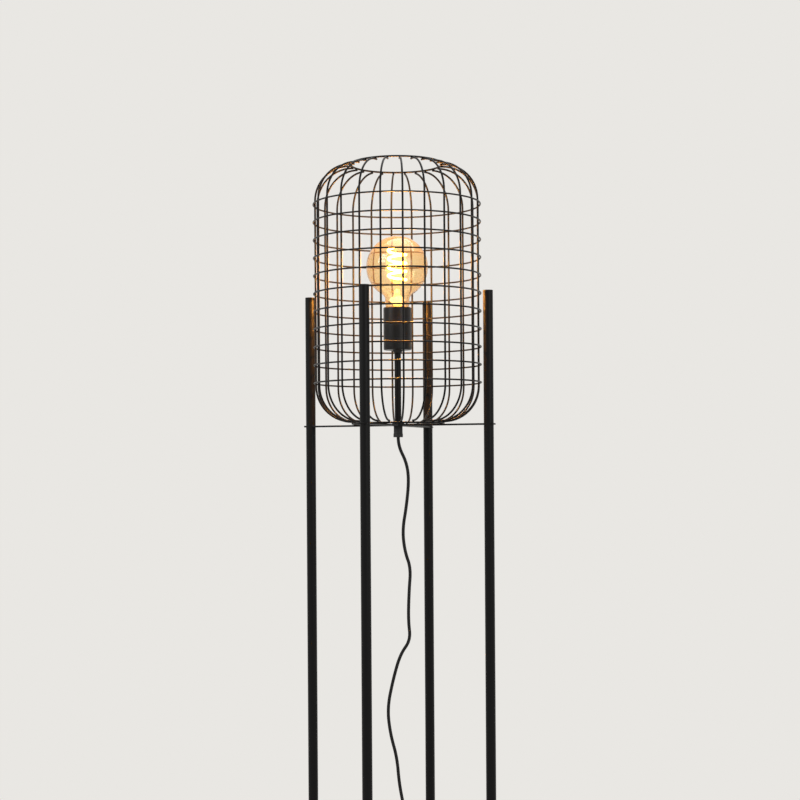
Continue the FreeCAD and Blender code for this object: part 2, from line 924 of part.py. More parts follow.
def plug_body():
    """The flat six-sided body, wide in the middle and narrower at its face."""
    start = coil_end() + Vector(boot_length, 0, -plug_thickness / 2)
    outline = [
        (0, plug_neck_width / 2),
        (plug_length * plug_wide_share, plug_width / 2),
        (plug_length, plug_face_width / 2),
    ]
    outline += [(along, -half) for along, half in reversed(outline)]
    points = [start + Vector(along, half, 0) for along, half in outline]
    body = Part.Face(Part.makePolygon(points + points[:1])).extrude(up * plug_thickness)
    rims = [edge for edge in body.Edges if edge.BoundBox.ZLength < 0.01]
    return body.makeChamfer(plug_edge, rims)


def plug_pins():
    """Two round pins."""
    face = coil_end() + Vector(boot_length + plug_length, 0, 0)
    pins = []
    for side in (-1, 1):
        root = face + Vector(0, side * pin_spacing / 2, 0)
        pins.append(bar(root, root + Vector(pin_length, 0, 0), pin_diameter, pin_diameter))
    return Part.makeCompound(pins)


def main():
    os.makedirs("parts", exist_ok=True)
    quarter = {"leg_right": 0, "leg_back": 90, "leg_left": 180, "leg_front": 270}
    tube = leg()
    for name, degrees in quarter.items():
        export(about_z(tube, degrees), name)
    cap = leg_end(leg_tip_height, leg_tip_height - cap_thickness, 0)
    foot = leg_end(0.0, foot_height, foot_chamfer)
    export(Part.makeCompound([about_z(cap, degrees) for degrees in quarter.values()]), "leg_caps")
    export(Part.makeCompound([about_z(foot, degrees) for degrees in quarter.values()]), "leg_feet")
    export(cross(cross_bottom, stem_diameter + stem_clearance), "upper_cross")
    export(cross(lower_cross_height, 0), "lower_cross")
    export(cage_bars(), "cage_bars")
    export(end_ring(overall_height - end_ring_wire / 2), "cage_top_ring")
    export(end_ring(cross_top + end_ring_wire / 2), "cage_bottom_ring")
    for index, band in enumerate(bands()):
        export(band, "cage_band_%02d" % (index + 1))
    export(stem_tube(), "stem_tube")
    export(stem_nut(), "stem_nut")
    export(holder_collar(), "holder_collar")
    export(holder_cover(), "holder_cover")
    export(holder_insert(), "holder_insert")
    export(screw_shell(), "screw_shell")
    export(centre_contact(), "centre_contact")
    export(cord_grip(), "cord_grip")
    export(stem_lead(), "stem_lead")
    export(bulb_glass(), "bulb_glass")
    export(bulb_cap(), "bulb_cap")
    export(cap_insulator(), "cap_insulator")
    export(cap_tip(), "cap_tip")
    export(glass_mount(), "glass_mount")
    export(filament(), "filament")
    export(filament_leads(), "filament_leads")
    export(cord_drop(), "cord_drop")
    export(cord_coil(), "cord_coil")
    export(cord_tie(), "cord_tie")
    export(switch_base(), "switch_base")
    export(switch_cover(), "switch_cover")
    export(switch_reliefs(), "switch_reliefs")
    export(switch_button(), "switch_button")
    export(switch_contacts(), "switch_contacts")
    export(switch_spring(), "switch_spring")
    export(plug_boot(), "plug_boot")
    export(plug_body(), "plug_body")
    export(plug_pins(), "plug_pins")


main()
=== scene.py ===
import math

import bmesh
import bpy
from mathutils import Matrix, Vector


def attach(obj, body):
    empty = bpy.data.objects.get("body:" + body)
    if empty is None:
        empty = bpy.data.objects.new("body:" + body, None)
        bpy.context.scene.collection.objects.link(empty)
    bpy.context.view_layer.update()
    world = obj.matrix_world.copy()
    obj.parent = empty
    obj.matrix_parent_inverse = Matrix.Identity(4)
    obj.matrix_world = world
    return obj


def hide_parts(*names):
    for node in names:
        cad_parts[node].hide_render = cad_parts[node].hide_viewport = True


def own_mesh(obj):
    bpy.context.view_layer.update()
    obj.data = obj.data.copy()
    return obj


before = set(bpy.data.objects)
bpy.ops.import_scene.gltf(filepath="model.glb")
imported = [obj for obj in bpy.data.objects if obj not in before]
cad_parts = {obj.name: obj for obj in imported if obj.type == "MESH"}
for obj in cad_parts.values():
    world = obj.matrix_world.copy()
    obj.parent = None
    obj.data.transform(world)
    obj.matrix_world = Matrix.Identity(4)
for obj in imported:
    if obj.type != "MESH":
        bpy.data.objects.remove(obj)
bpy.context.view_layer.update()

# Camera. It stands level at about waist height, 2.5 m from the lamp's middle, and sees the lamp turned
# by 19.4 degrees. The frame is shifted so that the cage is in its upper half, and it tilts a little.
camera_distance = 2.512
camera_height = 1.037
camera_azimuth = math.radians(19.44)
camera_roll = math.radians(0.38)
camera_data = bpy.data.cameras.new("camera")
camera_data.sensor_width = 36.0
camera_data.lens = 73.76
camera_data.shift_x = 0.002
camera_data.shift_y = 0.082
camera = bpy.data.objects.new("camera", camera_data)
across = camera_distance * math.sin(camera_azimuth)
camera.location = (across, -camera_distance * math.cos(camera_azimuth), camera_height)
camera.rotation_euler = (math.pi / 2, camera_roll, camera_azimuth)
bpy.context.collection.objects.link(camera)
bpy.context.scene.camera = camera
bpy.context.scene.view_settings.view_transform = "Standard"

# Black powder coat. Fine dry powder, sprayed on the welded and drilled steel parts and baked to a thin
# tough skin. All the steel of the stand and the cage has it.
mm = 0.001


def linear(code):
    """A colour written as an sRGB hex value, as a shader's socket wants it."""
    channels = [int(code[place:place + 2], 16) / 255 for place in (1, 3, 5)]
    return tuple(c / 12.92 if c <= 0.04045 else ((c + 0.055) / 1.055) ** 2.4 for c in channels) + (1.0,)


def add(material, kind, settings=(), **links):
    """Adds a node to a material. Settings name its properties and sockets, and links feed its sockets."""
    node = material.node_tree.nodes.new("ShaderNode" + kind)
    for name, value in dict(settings).items():
        if name in node.inputs:
            node.inputs[name].default_value = value
        else:
            setattr(node, name, value)
    for name, output in links.items():
        material.node_tree.links.new(output, node.inputs[name.replace("_", " ")])
    return node


def finish(name, settings):
    """A new material with one Principled shader, its steady values set on the shader's own sockets."""
    material = bpy.data.materials.new(name)
    material.use_nodes = True
    shader = material.node_tree.nodes["Principled BSDF"]
    for socket, value in settings.items():
        shader.inputs[socket].default_value = value
    return material, shader


def grain(material, shader, size, depth, smooth, rough, detail=3.0):
    """Gives a finish bumps of this size and depth in metres, and a roughness from smooth to rough."""
    place = add(material, "TexCoord").outputs["Object"]
    bumps = add(material, "TexNoise", {"Scale": 1 / size, "Detail": detail, "Roughness": 0.5}, Vector=place)
    relief = add(material, "Bump", {"Strength": 1.0, "Distance": depth}, Height=bumps.outputs["Fac"])
    drift = add(material, "TexNoise", {"Scale": 9.0, "Detail": 4.0, "Roughness": 0.6}, Vector=place)
    spread = add(material, "MapRange", {"To Min": smooth, "To Max": rough}, Value=drift.outputs["Fac"])
    material.node_tree.links.new(relief.outputs["Normal"], shader.inputs["Normal"])
    material.node_tree.links.new(spread.outputs["Result"], shader.inputs["Roughness"])
    return place


# Satin near-black. A faint orange peel about 1.2 mm wide breaks up the highlights, and the gloss drifts
# a little along each tube.
powder_coat, shader = finish("black powder coated steel", {
    "Base Color": linear("#070708"),
    "Specular IOR Level": 0.14,
    "IOR": 1.5,
})
grain(powder_coat, shader, 1.2 * mm, 0.03 * mm, 0.3, 0.44)


# Legs. Four straight steel tubes, 15 mm across with a 1.2 mm wall, sawn square at both ends.
# Two slots are milled through each tube for the crosses, which lock all four together.
leg_circle = 144.5 * mm
leg_radius = 7.5 * mm
leg_wall = 1.2 * mm
leg_sides = 48
slot_angle = math.radians(60)
leg_low = 5.0 * mm
leg_high = 1298.5 * mm
cross_thickness = 2.5 * mm
slot_height = 2.7 * mm
slot_face_limit = 1.5 * slot_height
upper_cross_low = 1097.5 * mm
lower_cross_low = 150.0 * mm
leg_turns = {"leg_right": 0, "leg_back": 90, "leg_left": 180, "leg_front": 270}


def piece(name, shape, material, slot, body, *nodes):
    """Makes the shape a piece of this material that rides on a body in place of CAD nodes."""
    mesh = bpy.data.meshes.new(name)
    shape.to_mesh(mesh)
    shape.free()
    mesh.shade_smooth()
    mesh.set_sharp_from_angle(angle=math.radians(40))
    mesh.materials.append(material)
    made = bpy.data.objects.new(name, mesh)
    bpy.context.collection.objects.link(made)
    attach(made, body)
    if nodes:
        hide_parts(*nodes)
    return made


def carry_on(shape, edges, step):
    """Carries an open end of a tube or wire straight on by step, and returns the new end's edges."""
    grown = bmesh.ops.extrude_edge_only(shape, edges=edges)["geom"]
    ends = {item for item in grown if isinstance(item, bmesh.types.BMVert)}
    bmesh.ops.translate(shape, verts=list(ends), vec=step)
    return [item for item in grown if isinstance(item, bmesh.types.BMEdge) and set(item.verts) <= ends]


def leg_tube(degrees):
    """One slotted tube, made on the X axis and turned by this angle to its place."""
    shape = bmesh.new()
    place = Matrix.Translation((leg_circle, 0, leg_low))
    bmesh.ops.create_circle(shape, segments=leg_sides, radius=leg_radius, matrix=place)
    edges = shape.edges[:]
    height = leg_low
    for cross_low in (lower_cross_low, upper_cross_low):
        for row in (cross_low, cross_low + slot_height):
            edges = carry_on(shape, edges, (0, 0, row - height))
            height = row
    carry_on(shape, edges, (0, 0, leg_high - height))
    opened = []
    for face in shape.faces:
        centre = face.calc_center_median()
        beside = abs(centre.y) < leg_radius * math.sin(slot_angle)
        if beside and abs(face.verts[0].co.z - face.verts[2].co.z) < slot_face_limit:
            opened.append(face)
    bmesh.ops.delete(shape, geom=opened, context="FACES")
    bmesh.ops.recalc_face_normals(shape, faces=shape.faces)
    bmesh.ops.solidify(shape, geom=shape.faces[:], thickness=leg_wall)
    bmesh.ops.recalc_face_normals(shape, faces=shape.faces)
    turn = Matrix.Rotation(math.radians(degrees), 3, "Z")
    bmesh.ops.rotate(shape, verts=shape.verts, cent=(0, 0, 0), matrix=turn)
    return shape


for leg_name, degrees in leg_turns.items():
    piece(leg_name + "_tube", leg_tube(degrees), powder_coat, "frame_steel", "stand", leg_name)


# Caps and feet. Each tube is closed by a pressed-in plug: a thin coated disc at the top,
# and at the floor a moulded plastic foot with a rounded edge, both with a spigot in the tube.
spigot_clearance = 0.15 * mm
spigot_radius = leg_radius - leg_wall - spigot_clearance
spigot_length = 12.0 * mm
merge_distance = 0.001 * mm


def turned(outline, steps=64, closed=True):
    """A piece turned on the Z axis. An outline that starts off the axis comes back to its start if closed."""
    shape = bmesh.new()
    points = [shape.verts.new((radius, 0, height)) for radius, height in outline]
    edges = [shape.edges.new(pair) for pair in zip(points, points[1:])]
    if closed and outline[0][0] > 0:
        edges.append(shape.edges.new((points[-1], points[0])))
    bmesh.ops.spin(shape, geom=points + edges, cent=(0, 0, 0), axis=(0, 0, 1), dvec=(0, 0, 0),
                   angle=math.tau, steps=steps, use_merge=True)
    bmesh.ops.remove_doubles(shape, verts=shape.verts, dist=merge_distance)
    bmesh.ops.recalc_face_normals(shape, faces=shape.faces)
    return shape


def soften(shape, width, segments=3):
    """Rounds every edge where the surface turns by more than 35 degrees."""
    sharp = [edge for edge in shape.edges if len(edge.link_faces) == 2]
    sharp = [edge for edge in sharp if edge.calc_face_angle() > math.radians(35)]
    bmesh.ops.bevel(shape, geom=sharp, offset=width, segments=segments, profile=0.5,
                    affect="EDGES", material=-1, clamp_overlap=True)
    return shape


def four_times(shape):
    """Moves a shape from the axis out to the first leg and repeats it at the other three."""
    bmesh.ops.translate(shape, verts=shape.verts, vec=(leg_circle, 0, 0))
    bmesh.ops.spin(shape, geom=shape.verts[:] + shape.edges[:] + shape.faces[:], cent=(0, 0, 0),
                   axis=(0, 0, 1), dvec=(0, 0, 0), angle=math.tau * 3 / 4, steps=3, use_duplicate=True)
    return shape


cap_high = 1300.0 * mm
cap = soften(turned([
    (0, leg_high - spigot_length), (spigot_radius, leg_high - spigot_length), (spigot_radius, leg_high),
    (leg_radius, leg_high), (leg_radius, cap_high), (0, cap_high),
], 48), 0.3 * mm)
piece("leg_caps_turned", four_times(cap), powder_coat, "frame_steel", "stand", "leg_caps")
# Dark grey with a fine dry grain about 0.8 mm wide, duller than the tubes above it.
foot_plastic, shader = finish("black moulded nylon", {
    "Base Color": linear("#151516"),
    "Specular IOR Level": 0.4,
    "IOR": 1.5,
})
grain(foot_plastic, shader, 0.8 * mm, 0.03 * mm, 0.5, 0.66)
foot = soften(turned([
    (0, 0), (leg_radius, 0), (leg_radius, leg_low),
    (spigot_radius, leg_low), (spigot_radius, leg_low + spigot_length), (0, leg_low + spigot_length),
], 48), 0.9 * mm)
piece("leg_feet_moulded", four_times(foot), foot_plastic, "black_plastic", "stand", "leg_feet")


# Crosses. Two flat steel crosses, laser cut from 2.5 mm plate with a round hub and deburred edges.
# Their arms run through the slots in the legs and stand 1.5 mm proud outside.
arm_half_width = 6.25 * mm
arm_reach = 153.5 * mm
hub_radius = 17.0 * mm
hub_steps = 12


def flat_cross(low):
    """A flat cross with a round hub, its lower face at this height."""
    shape = bmesh.new()
    meet = math.asin(arm_half_width / hub_radius)
    outline = []
    for quarter in range(4):
        turn = Matrix.Rotation(quarter * math.pi / 2, 3, "Z")
        outline.append(turn @ Vector((arm_reach, -arm_half_width, low)))
        outline.append(turn @ Vector((arm_reach, arm_half_width, low)))
        for step in range(hub_steps + 1):
            angle = meet + (math.pi / 2 - 2 * meet) * step / hub_steps
            point = Vector((hub_radius * math.cos(angle), hub_radius * math.sin(angle), low))
            outline.append(turn @ point)
    plate = shape.faces.new([shape.verts.new(point) for point in outline])
    grown = bmesh.ops.extrude_face_region(shape, geom=[plate])["geom"]
    bmesh.ops.translate(shape, verts=[item for item in grown if isinstance(item, bmesh.types.BMVert)],
                        vec=(0, 0, cross_thickness))
    bmesh.ops.recalc_face_normals(shape, faces=shape.faces)
    return soften(shape, 0.25 * mm, 2)


piece("upper_cross_plate", flat_cross(upper_cross_low), powder_coat, "frame_steel", "stand", "upper_cross")
piece("lower_cross_plate", flat_cross(lower_cross_low), powder_coat, "frame_steel", "stand", "lower_cross")


# Cage uprights. 24 steel wires, 3 mm thick, each bent inwards to a 54 mm radius at both ends
# and spot welded inside the rings. Their ends show just inside the top and bottom rings.
bar_radius = 1.5 * mm
bar_circle = 125.0 * mm
bar_count = 24
cage_turn = math.radians(0.9)
bend_radius = 54.0 * mm
bar_end = 67.5 * mm
bar_high = 1495.5 * mm
bar_low = 1104.5 * mm
wire_sides = 12
bend_steps = 14


def swing(shape, edges, centre, axis, angle, steps, climb=(0, 0, 0)):
    """Carries an open end of a wire round an arc, and returns the new end's edges."""
    points = list({point for edge in edges for point in edge.verts})
    last = bmesh.ops.spin(shape, geom=points + edges, cent=centre, axis=axis, dvec=climb,
                          angle=angle, steps=steps)["geom_last"]
    return [item for item in last if isinstance(item, bmesh.types.BMEdge)]


def close_ends(shape):
    """Closes the open ends of a wire and points its faces outwards."""
    bmesh.ops.holes_fill(shape, edges=[edge for edge in shape.edges if edge.is_boundary], sides=0)
    bmesh.ops.recalc_face_normals(shape, faces=shape.faces)


shape = bmesh.new()
start = Matrix.Translation((bar_end, 0, bar_high)) @ Matrix.Rotation(math.pi / 2, 4, "Y")
bmesh.ops.create_circle(shape, segments=wire_sides, radius=bar_radius, matrix=start)
bend_x = bar_circle - bend_radius
edges = carry_on(shape, shape.edges[:], (bend_x - bar_end, 0, 0))
edges = swing(shape, edges, (bend_x, 0, bar_high - bend_radius), (0, 1, 0), math.pi / 2, bend_steps)
edges = carry_on(shape, edges, (0, 0, bar_low - bar_high + 2 * bend_radius))
edges = swing(shape, edges, (bend_x, 0, bar_low + bend_radius), (0, 1, 0), math.pi / 2, bend_steps)
carry_on(shape, edges, (bar_end - bend_x, 0, 0))
close_ends(shape)
first_turn = Matrix.Rotation(cage_turn + math.pi / bar_count, 3, "Z")
bmesh.ops.rotate(shape, verts=shape.verts, cent=(0, 0, 0), matrix=first_turn)
last_turn = math.tau * (bar_count - 1) / bar_count
bmesh.ops.spin(shape, geom=shape.verts[:] + shape.edges[:] + shape.faces[:], cent=(0, 0, 0), axis=(0, 0, 1),
               dvec=(0, 0, 0), angle=last_turn, steps=bar_count - 1, use_duplicate=True)
piece("cage_uprights", shape, powder_coat, "frame_steel", "stand", "cage_bars")


# Cage rings. Eleven hoops of 2.5 mm wire go round the outside of the uprights, and a 3 mm ring closes
# each end. Every crossing is spot welded, which leaves a small flattened nugget under the coating.
hoop_radius = 1.25 * mm
hoop_circle = bar_circle + bar_radius + hoop_radius
hoop_count = 11
hoop_high = 1436.5 * mm
hoop_low = 1163.5 * mm
end_ring_circle = 70.0 * mm
end_ring_radius = 1.5 * mm
weld_radius = 1.5 * mm
weld_flatness = 0.5


def wire_ring(circle, height, radius, steps=144):
    """A closed level ring of wire, with the middle of the wire on a circle of this radius."""
    shape = bmesh.new()
    start = Matrix.Translation((circle, 0, height)) @ Matrix.Rotation(math.pi / 2, 4, "X")
    bmesh.ops.create_circle(shape, segments=wire_sides, radius=radius, matrix=start)
    bmesh.ops.spin(shape, geom=shape.verts[:] + shape.edges[:], cent=(0, 0, 0), axis=(0, 0, 1),
                   dvec=(0, 0, 0), angle=math.tau, steps=steps, use_merge=True)
    bmesh.ops.recalc_face_normals(shape, faces=shape.faces)
    return shape


def spot_welds(shape, reach, height, flat_axis):
    """Adds one small weld nugget where each upright meets a ring."""
    for index in range(bar_count):
        turn = Matrix.Rotation(cage_turn + math.tau * (index + 0.5) / bar_count, 4, "Z")
        flatten = Matrix.Scale(weld_flatness, 4, flat_axis)
        place = turn @ Matrix.Translation((reach, 0, height)) @ flatten
        bmesh.ops.create_icosphere(shape, subdivisions=1, radius=weld_radius, matrix=place)


for index in range(hoop_count):
    height = hoop_high - (hoop_high - hoop_low) * index / (hoop_count - 1)
    hoop = wire_ring(hoop_circle, height, hoop_radius)
    spot_welds(hoop, bar_circle + bar_radius, height, (1, 0, 0))
    number = "%02d" % (index + 1)
    piece("cage_hoop_" + number, hoop, powder_coat, "frame_steel", "stand", "cage_band_" + number)
for name, height, seam in (("top", bar_high + 2 * end_ring_radius, bar_high + end_ring_radius),
                           ("bottom", bar_low - 2 * end_ring_radius, bar_low - end_ring_radius)):
    hoop = wire_ring(end_ring_circle, height, end_ring_radius, 96)
    spot_welds(hoop, end_ring_circle, seam, (0, 0, 1))
    piece("cage_" + name + "_hoop", hoop, powder_coat, "frame_steel", "stand", "cage_" + name + "_ring")


# Stem. A 10 mm threaded steel tube stands on the cross, clamped by a thin hexagon nut above it.
# It carries the lamp holder at the height of the cage's middle, and the cord runs up inside it.
stem_radius = 5.0 * mm
stem_bore = 3.5 * mm
stem_low = 1088.5 * mm
stem_high = 1225.2 * mm
cross_top = 1100.0 * mm
nut_height = 3.0 * mm
nut_corner = 8.5 * mm / math.cos(math.pi / 6)
stem = turned([
    (stem_bore, stem_low), (stem_radius, stem_low), (stem_radius, stem_high), (stem_bore, stem_high),
], 48)
piece("stem_pipe", soften(stem, 0.3 * mm), powder_coat, "frame_steel", "stand", "stem_tube")
shape = bmesh.new()
place = Matrix.Translation((0, 0, cross_top + nut_height / 2)) @ Matrix.Rotation(math.radians(30), 4, "Z")
bmesh.ops.create_cone(shape, cap_ends=True, segments=6, radius1=nut_corner, radius2=nut_corner,
                      depth=nut_height, matrix=place)
piece("stem_hex_nut", soften(shape, 0.4 * mm), powder_coat, "frame_steel", "stand", "stem_nut")


# Lamp holder. A deep drawn steel cup with a cone collar under it, both lacquered smooth satin black.
# The cup's rim is rolled inwards round a white ceramic body that holds the brass screw shell.
collar_low = 1209.5 * mm
holder_low = 1214.0 * mm
holder_high = 1279.5 * mm
holder_radius = 21.5 * mm
holder_wall = 1.2 * mm
rim_radius = holder_radius - 2.2 * mm
stem_hole = 5.05 * mm
collar_low_radius = 5.75 * mm
collar_high_radius = 8.5 * mm


def arc(centre, radius, first, last, steps):
    """Points of an outline's arc, from the first to the last angle in degrees above the radius."""
    angles = [math.radians(first + (last - first) * step / steps) for step in range(steps + 1)]
    return [(centre[0] + radius * math.cos(angle), centre[1] + radius * math.sin(angle)) for angle in angles]


# Deep black, smoother than the powder coat, so that the bulb leaves long soft glints down the cup.
lacquer, shader = finish("smooth satin black lacquer", {
    "Base Color": linear("#070606"),
    "Specular IOR Level": 0.3,
    "IOR": 1.5,
})
grain(lacquer, shader, 2.5 * mm, 0.008 * mm, 0.3, 0.42, 1.0)
collar = turned([
    (stem_hole, collar_low), (collar_low_radius, collar_low),
    (collar_high_radius, holder_low), (stem_hole, holder_low),
])
piece("holder_cone_collar", soften(collar, 0.3 * mm), lacquer, "holder_black", "stand", "holder_collar")
rim_roll = 1.9 * mm
inner_wall = holder_radius - holder_wall
roll_centre = holder_radius - rim_roll
outline = [(stem_hole, holder_low)]
outline += arc((roll_centre, holder_low + rim_roll), rim_roll, -90, 0, 6)
outline += arc((roll_centre, holder_high - rim_roll), rim_roll, 0, 90, 8)
outline += [
    (rim_radius, holder_high), (rim_radius, holder_high - holder_wall),
    (inner_wall, holder_high - holder_wall - mm), (inner_wall, holder_low + holder_wall),
    (stem_hole, holder_low + holder_wall),
]
piece("holder_cup", turned(outline, 96), lacquer, "holder_black", "stand", "holder_cover")
# Warm white and glossy, with the slow ripple of a dipped glaze.
glaze, shader = finish("white glazed steatite", {
    "Base Color": linear("#e4dfd4"),
    "Specular IOR Level": 0.55,
    "IOR": 1.5,
    "Coat Weight": 0.3,
})
grain(glaze, shader, 3.0 * mm, 0.02 * mm, 0.16, 0.3, 2.0)
shell_outside = 14.5 * mm
insert_radius = 20.1 * mm
insert_low = holder_low + holder_wall
insert_high = 1274.5 * mm
insert_floor = 1247.4 * mm
stem_pocket_high = insert_low + 10 * mm
insert = turned([
    (stem_hole, insert_low), (insert_radius, insert_low), (insert_radius, insert_high),
    (shell_outside, insert_high), (shell_outside, insert_floor), (stem_bore, insert_floor),
    (stem_bore, stem_pocket_high), (stem_hole, stem_pocket_high),
])
piece("holder_ceramic", soften(insert, 0.3 * mm), glaze, "ceramic", "stand", "holder_insert")


# Screw shell and contacts. Thin brass, rolled with the same round thread as the bulb's cap,
# 3.6 mm from turn to turn, with a sprung contact on the ceramic floor.
# Yellow metal with the faint streaky bloom of handled sheet, 0.5 mm wide.
brass, shader = finish("plain rolled brass", {"Base Color": linear("#c9a25a"), "Metallic": 1.0})
grain(brass, shader, 0.5 * mm, 0.004 * mm, 0.24, 0.4)
thread_pitch = 3.6 * mm
thread_depth = 0.5 * mm
thread_steps = 8


def rolled_thread(low, high, radius):
    """Points of an outline that waves in and out by the thread, as (radius, height)."""
    count = int((high - low) / thread_pitch) * thread_steps
    return [(radius - thread_depth * (1 - math.cos(math.tau * step / thread_steps)) / 2,
             low + (high - low) * step / count) for step in range(count + 1)]


shell_wall = 0.25 * mm
wave = rolled_thread(insert_floor, insert_high, shell_outside)
sleeve = turned(wave + [(radius - shell_wall, height) for radius, height in reversed(wave)], 48)
piece("brass_screw_shell", sleeve, brass, "contact_brass", "stand", "screw_shell")


def dress(node, material):
    """Gives a CAD node that stays its finish."""
    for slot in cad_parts[node].material_slots:
        slot.material = material


dress("centre_contact", brass)


# Bulb. A blown globe of clear glass with a light gold tint, 95 mm across, drawn into a narrow neck.
# It is one thin wall of glass, open at the neck where the cap is cemented on.
cap_low = 1255.5 * mm
cap_high_edge = 1275.2 * mm
mouth_radius = 13.5 * mm
neck_radius = 18.5 * mm
neck_height = 1283.2 * mm
shoulder_radius = 17.3 * mm
shoulder_height = 1279.4 * mm
globe_radius = 47.5 * mm
globe_height = 1341.2 * mm
glass_wall = 0.8 * mm
# Clear pale gold, deeper amber where the eye looks along the wall. A painted warm glow on the glass stands in
# for the light from inside, and it is stronger in its crown.
gold_glass, shader = finish("gold tinted clear blown glass", {
    "Transmission Weight": 1.0,
    "IOR": 1.46,
    "Specular IOR Level": 0.5,
    "Emission Color": linear("#ffa01c"),
})
edge_on = add(gold_glass, "LayerWeight", {"Blend": 0.35}).outputs["Facing"]
tint = add(gold_glass, "MixRGB", {"Color1": linear("#fdf0d0"), "Color2": linear("#eab56a")}, Fac=edge_on)
gold_glass.node_tree.links.new(tint.outputs["Color"], shader.inputs["Base Color"])
place = grain(gold_glass, shader, 30 * mm, 0.1 * mm, 0.0, 0.012, 0.0)
height = add(gold_glass, "SeparateXYZ", Vector=place).outputs["Z"]
# Painted glow: the glass's emission rises with height from above the globe's middle to its crown.
painted_glow = add(gold_glass, "MapRange", {
    "From Min": globe_height + 12 * mm, "From Max": globe_height + globe_radius,
    "To Min": 0.035, "To Max": 0.2, "interpolation_type": "SMOOTHSTEP"}, Value=height)
gold_glass.node_tree.links.new(painted_glow.outputs["Result"], shader.inputs["Emission Strength"])
fillet_radius = 12.0 * mm
fillet_centre = (neck_radius + fillet_radius, 1290.1 * mm)
fillet_lean = 59.2
outside = [(mouth_radius, cap_high_edge), (shoulder_radius, shoulder_height), (neck_radius, neck_height)]
outside += arc(fillet_centre, fillet_radius, 180, 180 - fillet_lean, 10)
outside += arc((0, globe_height), globe_radius, -fillet_lean + 1, 90, 48)
outside[-1] = (0, globe_height + globe_radius)
shape = turned(outside, 96, closed=False)
bmesh.ops.solidify(shape, geom=shape.faces[:], thickness=glass_wall)
globe = piece("bulb_globe", shape, gold_glass, "amber_glass", "bulb", "bulb_glass")
globe.visible_shadow = False


# Bulb cap. A rolled screw thread of nickel coloured brass, cemented to the neck, with a black glass
# insulator and a drop of solder for the centre contact below it.
# Pale grey metal with a warm cast, rolled smooth, so that each turn of the thread has its own glint.
cap_metal, shader = finish("rolled nickel plated brass", {"Base Color": linear("#c9c2b2"), "Metallic": 1.0})
grain(cap_metal, shader, 0.6 * mm, 0.004 * mm, 0.2, 0.34)
thread_low = 1258.7 * mm
thread_high = 1273.2 * mm
cap_radius = 13.1 * mm
cap_base_radius = 9.5 * mm
outline = [(0, cap_low), (cap_base_radius, cap_low)] + rolled_thread(thread_low, thread_high, cap_radius)
outline += [(mouth_radius, cap_high_edge), (0, cap_high_edge)]
piece("bulb_screw_cap", turned(outline), cap_metal, "cap_brass", "bulb", "bulb_cap")
# Black and wet looking, with a slow ripple from being pressed while hot.
vitrite, shader = finish("black vitrite glass", {
    "Base Color": linear("#121012"),
    "Specular IOR Level": 0.6,
    "IOR": 1.5,
})
grain(vitrite, shader, 1.5 * mm, 0.02 * mm, 0.12, 0.26)
dress("cap_insulator", vitrite)
# Dull silver, lumpy where the drop has set.
solder, shader = finish("tin solder", {"Base Color": linear("#b9b7b0"), "Metallic": 1.0})
grain(solder, shader, 1.2 * mm, 0.05 * mm, 0.28, 0.5)
dress("cap_tip", solder)


# Mount. The glass stem inside the bulb, flared where it is sealed to the neck and pinched flat at the top,
# where the two lead wires come out. A painted yellow glow on it stands in for the filament's light.
mount_low = 1275.2 * mm
mount_high = 1302.2 * mm
# Clear glass, plain at the foot. A painted pale yellow glow on its flare and its pinched top stands in
# for the light they catch.
mount_glass, shader = finish("clear lead glass, painted yellow glow", {
    "Base Color": linear("#fff0cc"),
    "Transmission Weight": 0.95,
    "IOR": 1.46,
    "Emission Color": linear("#ffe6a6"),
})
place = grain(mount_glass, shader, 4.0 * mm, 0.1 * mm, 0.04, 0.14, 1.0)
height = add(mount_glass, "SeparateXYZ", Vector=place).outputs["Z"]
along = add(mount_glass, "MapRange", {"From Min": mount_low, "From Max": mount_high}, Value=height)
# Painted glow by height along the mount: dim at the foot, bright on the flare and the pinched top.
painted_glow = add(mount_glass, "FloatCurve", Value=along.outputs["Result"])
painted_glow_at_ends = ((0.0, 0.03), (1.0, 0.75))
painted_glow_between = ((0.36, 0.03), (0.46, 0.75), (0.66, 0.7), (0.74, 0.05), (0.86, 0.06))
for point, share in zip(painted_glow.mapping.curves[0].points, painted_glow_at_ends):
    point.location = share
for share in painted_glow_between:
    painted_glow.mapping.curves[0].points.new(*share)
mount_glass.node_tree.links.new(painted_glow.outputs["Value"], shader.inputs["Emission Strength"])
mount_foot = [(0, mount_low), (5.2 * mm, mount_low), (5.8 * mm, 1282.0 * mm)]
mount_flare = [(8.6 * mm, 1286.4 * mm), (10.8 * mm, 1288.6 * mm), (11.2 * mm, 1291.0 * mm),
               (10.2 * mm, 1293.8 * mm)]
mount_waist = [(7.6 * mm, 1295.8 * mm), (4.8 * mm, 1297.0 * mm), (3.6 * mm, 1298.6 * mm),
               (3.9 * mm, 1301.0 * mm)]
mount_pinch = [(4.4 * mm, 1303.4 * mm), (3.6 * mm, 1306.0 * mm), (2.0 * mm, 1307.4 * mm), (0, 1307.8 * mm)]
shape = turned(mount_foot + mount_flare + mount_waist + mount_pinch, 48)
glow_stem = piece("bulb_mount", shape, mount_glass, "mount_glass", "bulb", "glass_mount")
glow_stem.visible_shadow = False


# Filament. One soft flexible strip of light emitting dots, wound as a loose spiral of nearly four turns.
# Two fine lead wires, welded to its ends, carry it from the mount.
filament_radius = 13.5 * mm
filament_low = 1321.0 * mm
filament_high = 1369.0 * mm
filament_turns = 3.75
filament_wire = 2.1 * mm
filament_steps = 156
